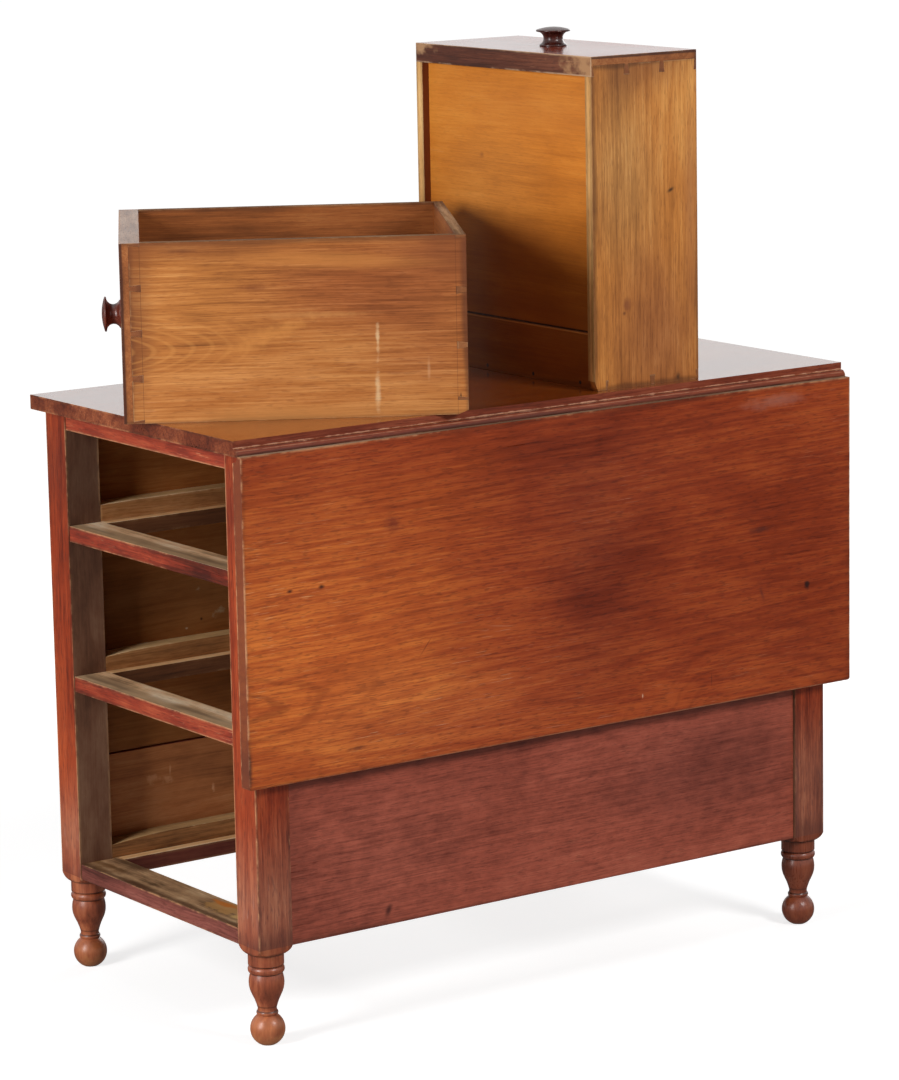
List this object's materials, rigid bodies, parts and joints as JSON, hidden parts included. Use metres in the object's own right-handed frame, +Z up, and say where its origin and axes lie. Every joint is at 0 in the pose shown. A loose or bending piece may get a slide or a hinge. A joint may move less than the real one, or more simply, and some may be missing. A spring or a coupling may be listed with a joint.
{
  "type": "drop-leaf sewing table with drawers",
  "caption": "Sewing table on turned ball feet with a hanging drop leaf, open drawer bays at one end and dovetailed drawers lifted out and set down on its top.",
  "frame": {"origin": "on the floor, under the middle of the whole piece with its drawers", "axes": "+X along the long side away from the drawer end, +Y from the leaf side to the back side, +Z up"},
  "size_m": [0.933, 0.5158, 1.1495],
  "materials": {
    "red_brown_wood": "old varnish, satin to gloss",
    "bare_case_wood": "bare, aged, matt",
    "drawer_wood": "bare, aged golden, matt",
    "knob_wood": "dark polish, gloss",
    "hinge_iron": "dark, dull"
  },
  "bodies": {
    "table": {"drawer_end_leaf_side_post": "red_brown_wood", "drawer_end_back_side_post": "red_brown_wood", "closed_end_leaf_side_post": "red_brown_wood", "closed_end_back_side_post": "red_brown_wood", "leaf_side_panel": "red_brown_wood", "back_side_upper_board": "red_brown_wood", "back_side_lower_board": "red_brown_wood", "closed_end_panel": "red_brown_wood", "top_rail": "red_brown_wood", "upper_drawer_rail": "red_brown_wood", "lower_drawer_rail": "red_brown_wood", "bottom_rail": "red_brown_wood", "bottom_bay_leaf_side_runner": "bare_case_wood", "bottom_bay_back_side_runner": "bare_case_wood", "bottom_bay_leaf_side_guide": "bare_case_wood", "bottom_bay_back_side_guide": "bare_case_wood", "middle_bay_leaf_side_runner": "bare_case_wood", "middle_bay_back_side_runner": "bare_case_wood", "middle_bay_leaf_side_guide": "bare_case_wood", "middle_bay_back_side_guide": "bare_case_wood", "top_bay_leaf_side_runner": "bare_case_wood", "top_bay_back_side_runner": "bare_case_wood", "top_bay_leaf_side_guide": "bare_case_wood", "top_bay_back_side_guide": "bare_case_wood", "drawer_stop_blocks": "bare_case_wood", "leaf_side_kicker": "bare_case_wood", "back_side_kicker": "bare_case_wood", "top_board": "red_brown_wood", "hinge_top_plates": "hinge_iron", "hinge_pins": "hinge_iron", "drawer_end_leaf_support": "bare_case_wood", "closed_end_leaf_support": "bare_case_wood"},
    "leaf": {"drop_leaf": "red_brown_wood", "hinge_leaf_plates": "hinge_iron"},
    "deep_drawer": {"deep_drawer_front": "red_brown_wood", "deep_drawer_right_side": "drawer_wood", "deep_drawer_left_side": "drawer_wood", "deep_drawer_back": "drawer_wood", "deep_drawer_bottom_board": "drawer_wood", "deep_drawer_bottom_rear_board": "drawer_wood", "deep_drawer_knob": "knob_wood"},
    "middle_drawer": {"middle_drawer_front": "red_brown_wood", "middle_drawer_right_side": "drawer_wood", "middle_drawer_left_side": "drawer_wood", "middle_drawer_back": "drawer_wood", "middle_drawer_bottom_board": "drawer_wood", "middle_drawer_bottom_rear_board": "drawer_wood", "middle_drawer_knob": "knob_wood"}
  },
  "joints": [
    {"name": "leaf_hinge", "type": "hinge", "parent": "table", "child": "leaf", "pos_m": [0.0155, -0.23704, 0.7074], "axis": [-1, 0, 0], "range_deg": [0, 90]},
    {"name": "deep_drawer_lift", "type": "slide", "parent": "table", "child": "deep_drawer", "axis": [0, 0, 1], "range_m": [0, 0.3]},
    {"name": "middle_drawer_lift", "type": "slide", "parent": "table", "child": "middle_drawer", "axis": [0, 0, 1], "range_m": [0, 0.3]}
  ]
}
